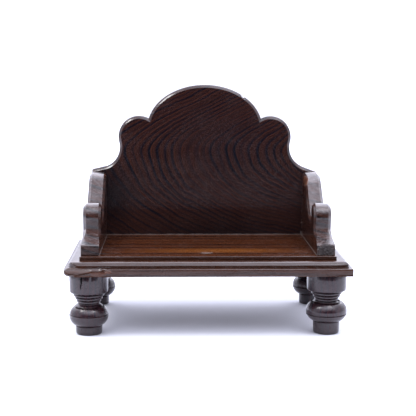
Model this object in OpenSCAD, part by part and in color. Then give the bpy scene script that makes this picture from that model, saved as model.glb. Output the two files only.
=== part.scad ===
// A small wooden throne-shaped display seat: a moulded seat board on four turned
// legs, with a scalloped back board between two carved scroll arms.
// All lengths are in millimetres. The origin is on the floor at the centre of the
// footprint, +X is the sitter's left (the viewer's right), -Y is the front, +Z is up.

/* [Seat board] */
// Overall width of the moulded seat board
seat_w = 300; // [240:1:360]
// Overall depth of the moulded seat board
seat_d = 194; // [162:1:233]
// Thickness of the seat board
seat_t = 18.5; // [17:0.5:24]
// Height of the square edge at the bottom of the moulding
edge_h = 7.8; // [5:0.1:9]
// Depth of the narrow ledge above the square edge
ledge_w = 4.2; // [3:0.1:6]
// How far the whole moulding steps in from the edge to the top face
mould_w = 15.8; // [13:0.1:20]
// Height of the small square fillet under the top face
fillet_h = 3.4; // [2:0.1:5]

/* [Legs] */
// Height of the leg from the floor to the underside of the seat board
leg_h = 64.7; // [58:0.1:80]
// Distance from the edge of the seat board to the centre of a leg
leg_inset = 24.5; // [22:0.5:34]
// Radius of the plain drum at the top of the leg
drum_r = 20.4; // [17:0.1:22]
// Radius of the narrowest part of the leg
neck_r = 11.4; // [9.5:0.1:13]
// Greatest radius of the rounded bulb
bulb_r = 21; // [18:0.1:22]
// Radius of the foot where it meets the bulb
foot_r = 13.6; // [11:0.1:15]
// How much the four hand-turned legs differ from each other
hand_turned = 1; // [0:0.25:1.5]
// Radius of the round tenon on top of the leg
tenon_r = 9; // [7:0.5:11]
// Length of the round tenon on top of the leg
tenon_l = 12; // [9:0.5:13]

/* [Arms] */
// Thickness of the arm boards
arm_t = 19; // [15:0.5:24]
// Distance from the top edge of the seat moulding to the outer face of the arm
arm_side_gap = 0.9; // [0.5:0.1:4]
// Distance from the top edge of the seat moulding to the front of the arm
arm_front_gap = 5.2; // [3:0.1:9]
// Height of the arm where it meets the back board
arm_h = 74; // [68:0.5:86]
// Height of the top of the front scroll above the seat
scroll_h = 50; // [44:0.5:56]
// Radius of the front scroll
scroll_r = 13.7; // [12:0.1:16]
// Distance from the front of the arm to the front of the scroll
scroll_setback = 29.7; // [26:0.1:34]
// How much steeper the middle of the arm's sweep is than a straight line
sweep_bow = 1.3; // [1.1:0.05:1.6]

/* [Back board] */
// How far the back board's shoulders stay inside the arms' outer faces
shoulder_inset = 2.1; // [0:0.1:4]
// Height of the back board above the seat
back_h = 175; // [160:0.5:210]
// Thickness of the back board
back_t = 11.5; // [9:0.5:14]
// Distance of the back board from the rear edge of the flat top
back_gap = 1.5; // [0.5:0.1:3]
// Height of the shoulder tip above the top of the arms
shoulder_rise = 1.2; // [0.5:0.1:8]
// Half width of the round crest where it is widest
crest_w = 67; // [58:0.5:70]
// Height of the crest arch above its widest line
crest_rise = 50.1; // [42:0.1:58]
// Distance of the notch between crest and lobe from the centre line
notch_x = 65.3; // [54:0.1:66]
// Distance of the lobe's centre from the centre line
lobe_x = 76.5; // [70:0.5:86]
// Radius of the side lobe
lobe_r = 24; // [20:0.5:28]

/* [Joinery] */
// Radius of the hardwood dowels under the arms and the back board
dowel_r = 3; // [2:0.25:4]
// Length of the dowels
dowel_l = 24; // [20:1:30]
// How deep a dowel sits in the seat board
dowel_sink = 10; // [8:0.5:12]
// Radius of the pegs driven through the back board into the arms
peg_r = 2.5; // [2:0.25:3.5]
// How far a peg reaches into the arm
peg_reach = 22; // [16:1:30]
// Glue clearance around tenons, dowels and pegs
glue_gap = 0.1; // [0.05:0.05:0.2]

/* [Hidden] */
$fn = 96;
skin = 1;                                  // how far a cut runs past a face

// seat board
seat_z = leg_h + seat_t;                   // height of the seat surface
top_w = seat_w - 2 * mould_w;              // width of the flat top
top_d = seat_d - 2 * mould_w;
ovolo_r = seat_t - edge_h - fillet_h - 1.2; // radius of the moulding's round
ovolo_foot = edge_h + 0.8;                 // where the round starts, above the underside

// arms
arm_x = top_w / 2 - arm_side_gap;          // outer face of an arm
arm_mid_x = arm_x - arm_t / 2;
arm_front = -top_d / 2 + arm_front_gap;    // front of the arm's toe
back_front = top_d / 2 - back_gap - back_t; // front face of the back board
arm_l = back_front - arm_front;
toe_h = 10;                                // height of the blunt toe
toe_set = 3;                               // how far the toe's round runs back
scroll_c = [scroll_setback + scroll_r, scroll_h - scroll_r];
groove = [scroll_setback + 1.6, scroll_h - 2 * scroll_r + 1.4]; // slope meets scroll
toe_a = atan2(groove[1] - toe_h, groove[0] - toe_set);          // angle of the toe's slope
valley_at = [scroll_c[0] + 18.6, scroll_c[1] - 7.8];            // its lowest point
flat_l = 4;                                // level stretch before the back board
top_run = arm_l - flat_l - valley_at[0];
top_rise = arm_h - valley_at[1];
sweep_slope = sweep_bow * atan2(top_rise, top_run);
both_r = (top_run * sin(sweep_slope) - top_rise * cos(sweep_slope)) / (1 - cos(sweep_slope));
valley_r = 0.47 * both_r;                  // hollow behind the scroll
top_r = both_r - valley_r;                 // round at the top
valley_c = valley_at + [0, valley_r];
top_c = [arm_l - flat_l, arm_h - top_r];
valley_end = valley_c + valley_r * [sin(sweep_slope), -cos(sweep_slope)];
top_start = top_c + top_r * [-sin(sweep_slope), cos(sweep_slope)];
meet = meeting(scroll_c, scroll_r, valley_c, valley_r);         // scroll runs into hollow
meet_a = atan2(meet[1] - scroll_c[1], meet[0] - scroll_c[0]);
hollow_a = atan2(meet[1] - valley_c[1], meet[0] - valley_c[0]);
arm_dowel_at = [25, arm_l - 26];           // from the front of the arm

// back board
back_w = 2 * (arm_x - shoulder_inset);     // width across the shoulders
shoulder_h = arm_h + shoulder_rise;        // height of the shoulder tip above the seat
back_mid_y = back_front + back_t / 2;
crest_z = back_h - crest_rise;             // height of the crest's widest line
notch_a = acos(notch_x / crest_w);
lobe_z = crest_z + crest_rise * sin(notch_a)
    - sqrt(pow(lobe_r, 2) - pow(lobe_x - notch_x, 2));
waist_r = 24.5;                            // hollow curve between lobe and shoulder
waist_a = -14.2;                           // direction from the lobe to the hollow's centre
waist_c = [lobe_x, lobe_z] + (lobe_r + waist_r) * [cos(waist_a), sin(waist_a)];
waist_end = 250;                           // where the hollow runs out into the shoulder
back_dowel_out = arm_x - arm_t - 34;       // outer dowels, from the centre line
back_dowel_x = [-back_dowel_out, 0, back_dowel_out];
peg_z = [20, arm_h - 17.5];                // heights of the pegs above the seat

// legs: sign of X, sign of Y, how far the turnings sit up or down, girth
LEGS = [
    [-1, -1, -2.1, 0.965],                 // front left
    [1, -1, 2.1, 1.035],                   // front right
    [-1, 1, -0.8, 0.99],                   // rear left
    [1, 1, 0.8, 1.01]                      // rear right
];
leg_x = seat_w / 2 - leg_inset;
leg_y = seat_d / 2 - leg_inset;
mortise_l = tenon_l + 1;
bulb_round = 11.5;                         // radius of the bulb's curve

// points along an arc
function arc(c, r, from, to, n) =
    [for (i = [0:n]) c + r * [cos(from + (to - from) * i / n), sin(from + (to - from) * i / n)]];

// where two circles cross, taking the lower crossing
function meeting(a, ra, b, rb) =
    let (
        v = b - a,
        d = norm(v),
        along = (ra * ra - rb * rb + d * d) / (2 * d),
        off = sqrt(ra * ra - along * along)
    )
    a + along * v / d + off * [v[1], -v[0]] / d;

function mirrored(points) =
    [for (i = [len(points) - 1:-1:0]) [-points[i][0], points[i][1]]];

// One half of the moulding: x is the distance in from the edge, y the height
function moulding() = concat(
    [[0, 0], [0, edge_h], [ledge_w, ovolo_foot]],
    arc([ledge_w + ovolo_r, ovolo_foot], ovolo_r, 180, 95, 12),
    [[mould_w, seat_t - fillet_h], [mould_w, seat_t]]
);

// The board's section across a span: both moulded edges and the flat top
module board_section(span) {
    right = [for (p = moulding()) [span / 2 - p[0], p[1]]];
    polygon(concat(right, mirrored(right)));
}

// Both moulded sections crossed, which mitres the moulding at every corner
module moulded_board() {
    translate([0, 0, leg_h])
        intersection() {
            rotate([90, 0, 0])
                linear_extrude(seat_d + 2 * skin, center = true) board_section(seat_w);
            rotate([90, 0, 90])
                linear_extrude(seat_w + 2 * skin, center = true) board_section(seat_d);
        }
}

module leg_mortise(leg) {
    translate([leg[0] * leg_x, leg[1] * leg_y, leg_h - skin])
        cylinder(r = tenon_r + glue_gap, h = mortise_l + skin);
}

// Dowels under one arm; grow makes the hole for them
module arm_dowel_row(side, grow = 0) {
    for (at = arm_dowel_at)
        translate([side * arm_mid_x, arm_front + at, seat_z - dowel_sink - grow])
            cylinder(r = dowel_r + grow, h = dowel_l + 2 * grow);
}

// Dowels under the back board; grow makes the hole for them
module back_dowel_row(grow = 0) {
    for (x = back_dowel_x)
        translate([x, back_mid_y, seat_z - dowel_sink - grow])
            cylinder(r = dowel_r + grow, h = dowel_l + 2 * grow);
}

// Pegs through the back board into one arm; past lets the hole run out of the back
module back_peg_row(side, grow = 0, past = 0) {
    for (z = peg_z)
        translate([side * arm_mid_x, back_front + back_t + past, seat_z + z])
            rotate([90, 0, 0])
                cylinder(r = peg_r + grow, h = back_t + peg_reach + grow + past);
}

module seat_board() {
    color("saddlebrown")
        difference() {
            moulded_board();
            for (leg = LEGS) leg_mortise(leg);
            for (side = [-1, 1]) arm_dowel_row(side, glue_gap);
            back_dowel_row(glue_gap);
        }
}

// Half of the back board's outline, from the top of the crest down to its foot
function back_half() =
    let (
        notch_z = crest_z + crest_rise * sin(notch_a),
        lobe_a = atan2(notch_z - lobe_z, notch_x - lobe_x),
        lobe = arc([lobe_x, lobe_z], lobe_r, lobe_a, waist_a, 30),
        waist = arc(waist_c, waist_r, 180 + waist_a, waist_end, 20)
    )
    concat(
        [for (i = [0:36]) let (a = 90 - (90 - notch_a) * i / 36)
            [crest_w * cos(a), crest_z + crest_rise * sin(a)]],
        [for (i = [1:30]) lobe[i]],
        [for (i = [1:20]) waist[i]],
        [[back_w / 2, shoulder_h], [back_w / 2, 0]]
    );

module back_board() {
    half = back_half();
    color("#3a211b")
        difference() {
            translate([0, back_front + back_t, seat_z])
                rotate([90, 0, 0])
                    linear_extrude(back_t)
                        polygon(concat(half, mirrored([for (i = [1:len(half) - 1]) half[i]])));
            back_dowel_row(glue_gap);
            for (side = [-1, 1]) back_peg_row(side, glue_gap, skin);
        }
}

// Side outline of an arm: x runs back from the toe, y up from the seat
function arm_outline() = concat(
    [[0, 0], [0, toe_h - 2], [0.9, toe_h - 0.7], [toe_set, toe_h], groove],
    [[scroll_setback + 0.9, groove[1] + 3.2]],
    arc(scroll_c, scroll_r, 190, meet_a, 40),
    [for (i = [1:12]) arc(valley_c, valley_r, hollow_a, sweep_slope - 90, 12)[i]],
    arc(top_c, top_r, sweep_slope + 90, 90, 12),
    [[arm_l, arm_h], [arm_l, 0]]
);

module arm(side) {
    color("#4a2e25")
        difference() {
            translate([side * arm_mid_x - arm_t / 2, arm_front, seat_z])
                rotate([90, 0, 90])
                    linear_extrude(arm_t) polygon(arm_outline());
            arm_dowel_row(side, glue_gap);
            back_peg_row(side, glue_gap);
        }
}

// Half section of a leg from the floor to the top of its tenon: x is the radius
// lift moves the turnings up, girth thickens them
function leg_half(lift, girth) =
    let (
        bulb_z = 21.8 + lift,
        neck_z = 34.6 + lift,
        lip_z = 45.6 + lift * 0.4,
        core = bulb_r - bulb_round,
        cup = lip_z - neck_z
    )
    concat(
        [[0, 0], [foot_r - 1.4, 0], [foot_r - 0.6, 0.5], [foot_r - 0.3, 1.5]],
        [for (p = concat(
            [[foot_r, bulb_z - 10.4]],
            arc([core, bulb_z], bulb_round, -62, -11, 14),
            [[bulb_r - 0.8, bulb_z - 1.9]],
            arc([core, bulb_z], bulb_round, -8, 60, 16),
            [
                [neck_r + 3.2, bulb_z + 10.2],
                [neck_r + 1.4, bulb_z + 10.5],
                [neck_r + 1.5, neck_z - 1.2],
                [neck_r, neck_z - 0.6],
                [neck_r, neck_z + 0.8],
                [neck_r + 0.9, neck_z + 1.6],
                [neck_r + 1.7, neck_z + 0.32 * cup],
                [neck_r + 1.4, neck_z + 0.35 * cup],
                [neck_r + 3.1, neck_z + 0.53 * cup],
                [neck_r + 2.8, neck_z + 0.56 * cup],
                [neck_r + 4.6, neck_z + 0.74 * cup],
                [neck_r + 4.3, neck_z + 0.77 * cup],
                [neck_r + 5.7, lip_z - 0.9],
                [neck_r + 6.2, lip_z - 0.7]
            ],
            arc([drum_r - 2.4, lip_z + 1.7], 2.4, -90, 0, 6),
            [[drum_r + 0.2, leg_h - 1], [drum_r, leg_h]]
        )) [p[0] * girth, p[1]]],
        [
            [tenon_r, leg_h],
            [tenon_r, leg_h + tenon_l - 0.8],
            [tenon_r - 0.8, leg_h + tenon_l],
            [0, leg_h + tenon_l]
        ]
    );

module leg(leg) {
    lift = leg[2] * hand_turned;
    girth = 1 + (leg[3] - 1) * hand_turned;
    color("#3b2c2b")
        translate([leg[0] * leg_x, leg[1] * leg_y, 0])
            rotate_extrude() polygon(leg_half(lift, girth));
}

module left_arm() {
    arm(-1);
}

module right_arm() {
    arm(1);
}

module arm_dowels(side) {
    color("burlywood") arm_dowel_row(side);
}

module back_dowels() {
    color("burlywood") back_dowel_row();
}

module back_pegs(side) {
    color("peru") back_peg_row(side);
}

seat_board();
back_board();
left_arm();
right_arm();
leg(LEGS[0]);  // front_left_leg
leg(LEGS[1]);  // front_right_leg
leg(LEGS[2]);  // rear_left_leg
leg(LEGS[3]);  // rear_right_leg
arm_dowels(-1);  // left_arm_dowels
arm_dowels(1);  // right_arm_dowels
back_dowels();
back_pegs(-1);  // left_back_pegs
back_pegs(1);  // right_back_pegs
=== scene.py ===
# %% [markdown]
# # A small throne-shaped display seat in dark rosewood
# The real object is a little wooden throne: a moulded seat board on four turned legs, with a scalloped
# back board standing between two carved arms. A maker would saw the flat boards to outline, run the
# moulding along the seat's edges, turn the legs on a lathe and then wax everything. This lesson rebuilds
# each wooden piece the same way with Blender's mesh operators, on top of the exact model that the frame holds.

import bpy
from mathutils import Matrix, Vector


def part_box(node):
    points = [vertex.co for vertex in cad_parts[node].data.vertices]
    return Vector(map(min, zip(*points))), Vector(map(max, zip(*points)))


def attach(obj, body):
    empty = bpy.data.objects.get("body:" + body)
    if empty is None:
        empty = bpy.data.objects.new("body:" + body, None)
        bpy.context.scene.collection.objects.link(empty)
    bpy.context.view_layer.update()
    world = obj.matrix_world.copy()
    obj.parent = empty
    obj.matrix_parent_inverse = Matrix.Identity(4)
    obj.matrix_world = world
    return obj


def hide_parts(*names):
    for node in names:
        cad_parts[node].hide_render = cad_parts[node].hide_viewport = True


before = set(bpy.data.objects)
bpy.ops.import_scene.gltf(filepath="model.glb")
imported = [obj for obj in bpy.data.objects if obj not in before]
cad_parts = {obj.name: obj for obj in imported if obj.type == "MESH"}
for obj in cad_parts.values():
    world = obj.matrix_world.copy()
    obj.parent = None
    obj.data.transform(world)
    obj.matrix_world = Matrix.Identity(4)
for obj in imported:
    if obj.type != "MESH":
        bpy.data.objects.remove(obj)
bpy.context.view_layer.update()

# %% Tools for the whole lesson
import math

import bmesh
import bpy
from mathutils import Matrix, Vector, noise

MM = 0.001  # the meshes are worked in millimetres and scaled once, when a piece is finished


def box_mm(node):
    """Lowest and highest corners of an exact piece, in millimetres."""
    low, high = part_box(node)
    return low / MM, high / MM


seat_low, seat_high = box_mm("seat_board")
back_low, back_high = box_mm("back_board")
arm_low, arm_high = box_mm("right_arm")
print("seat surface at", round(seat_high.z, 1), "mm, back board from", round(back_low.y, 1), "mm")

# %% [markdown]
# ## Finishing a piece
# Every piece ends the same way: doubled points are merged, faces are turned outwards, shading is smooth
# except over real arrises, and the mesh goes from millimetres to metres in its final place. Keeping this in
# one helper means that each piece below is only about its own shape.

# %% Finish helper
def finish_piece(name, bm, slot, *stands_for, crease=32):
    """Turns a bmesh in millimetres into a finished piece that stands for exact pieces."""
    bmesh.ops.remove_doubles(bm, verts=bm.verts, dist=0.004)
    bmesh.ops.recalc_face_normals(bm, faces=bm.faces)
    for face in bm.faces:
        face.smooth = len(face.verts) < 30  # the broad sawn faces stay flat
    for edge in bm.edges:
        edge.smooth = edge.calc_face_angle(0.0) < math.radians(crease)
    bm.transform(Matrix.Scale(MM, 4))
    mesh = bpy.data.meshes.new(name)
    bm.to_mesh(mesh)
    bm.free()
    piece = bpy.data.objects.new(name, mesh)
    bpy.context.scene.collection.objects.link(piece)
    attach(piece, "root")
    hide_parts(*stands_for)
    print(name, len(mesh.polygons), "faces, size in mm", [round(d / MM, 1) for d in piece.dimensions])
    return piece


def wobble(point, grain, amount):
    """A smooth, repeatable unevenness, as a hand plane or a chisel leaves it."""
    return noise.noise_vector(Vector(point) / grain) * amount


def fade(value, start, end):
    """0 at start, 1 at end, with a soft run between them."""
    t = min(1.0, max(0.0, (value - start) / (end - start)))
    return t * t * (3 - 2 * t)


# %% [markdown]
# ## Drawing an outline with a compass
# A sawyer draws a scalloped board with a straight edge and a compass. The same two moves are enough here:
# line_to adds a straight stretch, and swing_to spins the last point about a centre, which leaves a true arc
# of short edges behind it. The spin operator does the arc's arithmetic.

# %% Outline helpers
def line_to(bm, last, point):
    """A straight edge from the last point."""
    new = bm.verts.new(point)
    bm.edges.new((last, new))
    return new


def swing_to(bm, last, centre, axis, degrees, steps):
    """An arc of edges from the last point, turned about a centre."""
    turned = bmesh.ops.spin(
        bm, geom=[last], cent=centre, axis=axis, dvec=(0, 0, 0),
        angle=math.radians(degrees), steps=steps, use_duplicate=False,
    )
    return [item for item in turned["geom_last"] if isinstance(item, bmesh.types.BMVert)][0]


def angle_of(v):
    """Direction of a 2-D vector in degrees."""
    return math.degrees(math.atan2(v[1], v[0]))


# %% [markdown]
# ## The seat board
# The seat is one board with a moulding worked along its edges: a square edge, a narrow ledge, a quarter
# round and a small fillet under the flat top. A moulding plane would cut it with mitred corners. Insetting
# the top face again and again, a little in and a little up each time, gives exactly those mitres.

# %% Seat board: step the moulding in from the edge
EDGE_ROUND = 0.8  # softened arris of the square edge
LEDGE_IN, LEDGE_UP = 4.15, 8.45  # where the ledge meets the upper member
seat_bm = bmesh.new()
seat_size = seat_high - seat_low
square = 7.8 - EDGE_ROUND
bmesh.ops.create_cube(
    seat_bm, size=1,
    matrix=Matrix.Translation((0, 0, seat_low.z + square / 2))
    @ Matrix.Diagonal((seat_size.x, seat_size.y, square, 1)),
)
seat_top = max(seat_bm.faces, key=lambda f: f.calc_center_median().z)


def step_in(bm, face, inward, upward):
    """One cut of the moulding plane: the top face moves in and up."""
    bmesh.ops.inset_region(
        bm, faces=[face], thickness=max(inward, 0.02), depth=upward,
        use_boundary=True, use_even_offset=True,
    )


def round_steps(radius, start, end, count):
    """Steps in and up that follow a round from one angle to another."""
    points = [
        (radius * math.cos(math.radians(start + (end - start) * i / count)),
         radius * math.sin(math.radians(start + (end - start) * i / count)))
        for i in range(count + 1)
    ]
    return [(b[0] - a[0], b[1] - a[1]) for a, b in zip(points, points[1:])]


cuts = round_steps(EDGE_ROUND, 180, 90, 3)          # softened arris
cuts += [(1.8, 0.3), (1.55, 0.35)]                   # narrow ledge
cuts += [(0.05, 0.9), (0.05, 0.9), (0.1, 0.6)]       # upright of the upper member
cuts += round_steps(6.2, 155, 97, 9)                 # flattened quarter round
cuts += [(3.3, 0.15), (2.9, 0.0)]                    # flat under the fillet
inset_so_far = sum(c[0] for c in cuts)
raised_so_far = square + sum(c[1] for c in cuts)
FILLET_ROUND = 0.5
cuts += [(15.8 - inset_so_far - 0.1, 0.05), (0.05, seat_size.z - raised_so_far - FILLET_ROUND - 0.05)]
cuts += round_steps(FILLET_ROUND, 180, 90, 3)        # softened top arris
for inward, upward in cuts:
    step_in(seat_bm, seat_top, inward, upward)
print("moulding:", len(cuts), "steps, top at", round(seat_top.calc_center_median().z, 2), "mm")

# %% [markdown]
# Long quads can't wear, so the board is sliced across its length and its depth. The slices are close
# together at the front left corner, where the real board is knocked about, and wider elsewhere.

# %% Seat board: slices for the wear to work on
def slice_board(bm, along, places):
    """Cuts the whole mesh at each place along one axis."""
    for place in places:
        spot = [0, 0, 0]
        spot[along] = place
        normal = [0, 0, 0]
        normal[along] = 1
        geom = bm.verts[:] + bm.edges[:] + bm.faces[:]
        bmesh.ops.bisect_plane(bm, geom=geom, dist=0.0005, plane_co=spot, plane_no=normal)


half_w, half_d = seat_size.x / 2, seat_size.y / 2
slices_x = [-half_w + s for s in (0.7, 1.5, 2.4, 3.4, 4.5, 5.8, 7.2)]
slices_x += [-half_w + 8.5 + 1.25 * i for i in range(36)]
slices_x += [-half_w + 56 + 6 * i for i in range(41)]
slices_y = [-half_d + s for s in (0.7, 1.5, 2.4, 3.4, 4.5, 5.8, 7.2, 9)]
slices_y += [-half_d + 14 + 6 * i for i in range(30)]
slice_board(seat_bm, 0, [x for x in slices_x if x < half_w - 0.5])
slice_board(seat_bm, 1, [y for y in slices_y if y < half_d - 0.5])
slice_board(seat_bm, 2, [seat_low.z + z for z in (1, 2, 3, 4, 5, 6)])
print("sliced into", len(seat_bm.faces), "faces")

# %% [markdown]
# The corner is worn in three ways: the upright corner is rounded in plan, the ledge's arris is rubbed down
# into a slope for the first hand's breadth, and the slope ends at an old break with a ragged step. The rest
# of the moulding only gets the slight unevenness of hand work, so that highlights waver along it.

# %% Seat board: wear
def round_plan(point, corner, inner, radius):
    """Pulls a point outside a rounded corner back onto the round."""
    centre = Vector((corner[0] * (inner[0] - radius), corner[1] * (inner[1] - radius)))
    offset = Vector((point.x, point.y)) - centre
    if offset.x * corner[0] > 0 and offset.y * corner[1] > 0 and offset.length > radius:
        offset *= radius / offset.length
        point.x, point.y = centre + offset


def rub_corner(point, low_z):
    """Wear of the front left corner: the arris below the ledge is rubbed down to a rounded slope."""
    height = point.z - low_z
    run = point.x + half_w  # distance from the left end
    inset = point.y + half_d
    if run > 47 or inset > min(LEDGE_IN, run) + 0.05 or height > LEDGE_UP + 0.05:
        return
    worn = 1 - fade(run, 38, 46)
    start = 1.0 + 5.6 * fade(run, 4, 40) + 0.5 * noise.noise((run / 5.5, 0, 1))  # foot of the slope
    share = (height + inset - start) / (LEDGE_UP + LEDGE_IN - start)
    if share > 0:
        share = min(1.0, share)
        slope_z = low_z + start + (LEDGE_UP - start) * share + 0.9 * math.sin(math.pi * share)
        point.y += (LEDGE_IN * share - inset) * worn
        point.z += (slope_z - point.z) * worn


def ball_corner(point, low_z):
    """Rounds the very end of the square edge into a ball, as years of handling do."""
    height = point.z - low_z
    run, inset = point.x + half_w, point.y + half_d
    near = 1 - fade(max(run, inset), 7.5, 13)
    if height > LEDGE_UP + 0.1 or near <= 0:
        return
    reach = Vector((6.2, 6.2, 4.7))
    offset = Vector((min(0.0, run - 6.2), min(0.0, inset - 6.2), height - 4.3))
    beyond = Vector((offset.x / reach.x, offset.y / reach.y, offset.z / reach.z)).length
    if beyond > 1:
        point -= offset * (1 - 1 / beyond) * near


def old_break(point, low_z):
    """The ragged step where the worn stretch ends."""
    run = point.x + half_w
    height = point.z - low_z
    if 33 < run < 52 and 4.4 < height < 8.6 and point.y < -half_d + 4.3:
        tooth = noise.noise((run * 0.9, height * 0.35, 7.0))
        edge = 1 - abs(run - 42.5) / 9.5
        point.z += (1.7 * tooth + 0.2) * edge
        point.y += 1.6 * max(0.0, -tooth) * edge


for vert in seat_bm.verts:
    co = vert.co
    inset = min(half_w - abs(co.x), half_d - abs(co.y))
    uneven = wobble(co, 34, 0.22) + wobble(co, 9, 0.09) if inset < 15.6 and co.z > seat_low.z + 0.01 else Vector()
    lower_member = co.z < seat_low.z + LEDGE_UP + 0.2
    rub_corner(co, seat_low.z)
    old_break(co, seat_low.z)
    ball_corner(co, seat_low.z)
    if lower_member:
        round_plan(co, (1, -1), (half_w, half_d), 1.2)
    elif inset < 12 and co.x > 0 and co.y < 0:
        round_plan(co, (1, -1), (half_w - 4.2, half_d - 4.2), 3.0)
    elif inset < 12 and co.x < 0 and co.y < 0:
        round_plan(co, (-1, -1), (half_w - 4.2, half_d - 4.2), 12.0)
    co += uneven
    co.x = max(-half_w, min(half_w, co.x))
    co.y = max(-half_d, min(half_d, co.y))
seat = finish_piece("seat_board_worn", seat_bm, "seat_wood", "seat_board", crease=40)

# %% [markdown]
# ## The back board
# The scalloped outline is a low arch over two round lobes, with a hollow under each lobe that runs out into
# a straight shoulder. Half of it is drawn with the compass, the arch is a circle pressed a little flat, and
# the other half is its mirror image. The filled outline is pushed back to the board's thickness, and only
# the front and rear arrises are eased, as a spokeshave does.

# %% Back board: half outline
AROUND_Y = (0, 1, 0)
crest_w, crest_rise = 67.0, 50.1
notch_x, lobe_x, lobe_r = 65.3, 76.5, 24.0
waist_r, waist_a = 24.5, -14.2
crest_z = back_high.z - crest_rise
notch_a = math.degrees(math.acos(notch_x / crest_w))
front_y = back_low.y
back_bm = bmesh.new()
crest_top = back_bm.verts.new((0, front_y, crest_z + crest_w))
tip = swing_to(back_bm, crest_top, (0, front_y, crest_z), AROUND_Y, 90 - notch_a, 64)
for vert in back_bm.verts:
    vert.co.z = crest_z + (vert.co.z - crest_z) * crest_rise / crest_w
lobe_z = tip.co.z - math.sqrt(lobe_r**2 - (lobe_x - notch_x) ** 2)
lobe_a = angle_of((tip.co.x - lobe_x, tip.co.z - lobe_z))
tip = swing_to(back_bm, tip, (lobe_x, front_y, lobe_z), AROUND_Y, lobe_a - waist_a, 44)
reach = lobe_r + waist_r
waist_centre = (
    lobe_x + reach * math.cos(math.radians(waist_a)), front_y,
    lobe_z + reach * math.sin(math.radians(waist_a)),
)
tip = swing_to(back_bm, tip, waist_centre, AROUND_Y, -(250 - 180 - waist_a), 30)
shoulder = line_to(back_bm, tip, (back_high.x, front_y, seat_high.z + 75.2))
foot = line_to(back_bm, shoulder, (back_high.x, front_y, seat_high.z))
print("half outline:", len(back_bm.verts), "points, lobe centre at", round(lobe_z, 1), "mm")

# %% Back board: mirror, fill, thicken and ease the arrises
bmesh.ops.mirror(
    back_bm, geom=back_bm.verts[:] + back_bm.edges[:], matrix=Matrix.Identity(4),
    merge_dist=0.001, axis="X",
)
left_foot = min(back_bm.verts, key=lambda v: (round(v.co.z, 2), v.co.x))
right_foot = min(back_bm.verts, key=lambda v: (round(v.co.z, 2), -v.co.x))
back_bm.edges.new((left_foot, right_foot))
bmesh.ops.contextual_create(back_bm, geom=back_bm.edges[:])
front_face = max(back_bm.faces, key=lambda f: f.calc_area())
pushed = bmesh.ops.extrude_face_region(back_bm, geom=[front_face])
rear_verts = [v for v in pushed["geom"] if isinstance(v, bmesh.types.BMVert)]
bmesh.ops.translate(back_bm, verts=rear_verts, vec=(0, back_high.y - front_y, 0))
bmesh.ops.recalc_face_normals(back_bm, faces=back_bm.faces)


def outline_edges(bm, y, floor_z):
    """Edges of the outline on one face, without the foot of the board."""
    return [
        e for e in bm.edges
        if all(abs(v.co.y - y) < 0.01 for v in e.verts)
        and not all(v.co.z < floor_z + 0.01 for v in e.verts)
    ]


def ease(bm, edges, width, segments, profile=0.5):
    """Takes arrises off: a profile of 0.5 is a round, 0.25 a flat chamfer."""
    bmesh.ops.bevel(
        bm, geom=edges, offset=width, offset_type="OFFSET", affect="EDGES",
        segments=segments, profile=profile, material=-1, clamp_overlap=False,
    )


open_edges = [
    e for e in outline_edges(back_bm, front_y, seat_high.z)
    if min(v.co.z for v in e.verts) > arm_high.z - 1
]
ease(back_bm, open_edges, 3.0, 3, profile=0.3)
ease(back_bm, outline_edges(back_bm, back_high.y, seat_high.z), 1.2, 2)
print("back board:", len(back_bm.faces), "faces")

# %% [markdown]
# Small knocks are pushed into the arch's front arris: a bigger one right of the middle and a few nicks.
# The left shoulder is a little higher than the right one, because the board was sawn by hand.

# %% Back board: knocks and the uneven shoulders
def knock(bm, centre, radius, push):
    """Pushes the points near a centre, most at the middle of the knock; the front face stays flat."""
    for vert in bm.verts:
        near = 1 - (vert.co - Vector(centre)).length / radius
        if near > 0 and abs(vert.co.y - front_y) > 0.01:
            vert.co += Vector(push) * near**0.6


def crest_point(x):
    """A point on the arch at a given distance from the middle."""
    return (x, front_y + 0.8, crest_z + crest_rise * math.sqrt(1 - (x / crest_w) ** 2) - 0.6)


knock(back_bm, crest_point(44.0), 4.0, (-1.2, 1.0, -2.8))
knock(back_bm, crest_point(47.0), 2.0, (0.5, 0.3, 0.8))
knock(back_bm, crest_point(-61.5), 2.2, (0.7, 0.8, -0.7))
knock(back_bm, crest_point(-20.0), 1.6, (0.1, 0.4, -0.5))
knock(back_bm, (99.5, front_y + 0.8, 205.0), 1.9, (-0.6, 0.5, 0.0))
for vert in back_bm.verts:
    co = vert.co
    if co.z > seat_high.z + 60:
        share = fade(abs(co.x), 108, 131)
        co.z += share * (1.5 if co.x < 0 else -1.6)
        co += wobble(co, 26, 0.2) * (abs(co.y - front_y) > 0.01)
back = finish_piece("back_board_eased", back_bm, "back_wood", "back_board")

# %% [markdown]
# ## The arms
# Each arm is a board sawn to a profile: a blunt toe, a slope up to a scroll, a hollow behind the scroll and
# a sweep that rounds over into the back board. The profile is drawn with the same compass moves, this time
# turned about the X axis. The hollow and the round have one tangent between them, so its slope is worked
# out first from the run and the rise.

# %% Arms: the numbers of the profile
AROUND_X = (1, 0, 0)
arm_l = arm_high.y - arm_low.y
arm_h = arm_high.z - arm_low.z
arm_t = arm_high.x - arm_low.x
scroll_r, scroll_c = 13.7, Vector((43.4, 36.3))
toe = Vector((3.0, 12.4))
groove = Vector((31.3, 24.0))
valley_at = scroll_c + Vector((18.6, -7.8))
run, rise = arm_l - 4 - valley_at.x, arm_h - valley_at.y
slope = math.radians(1.3 * angle_of((run, rise)))
both_r = (run * math.sin(slope) - rise * math.cos(slope)) / (1 - math.cos(slope))
valley_r = 0.47 * both_r
top_r = both_r - valley_r
valley_c = valley_at + Vector((0, valley_r))
top_c = Vector((arm_l - 4, arm_h - top_r))


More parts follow.
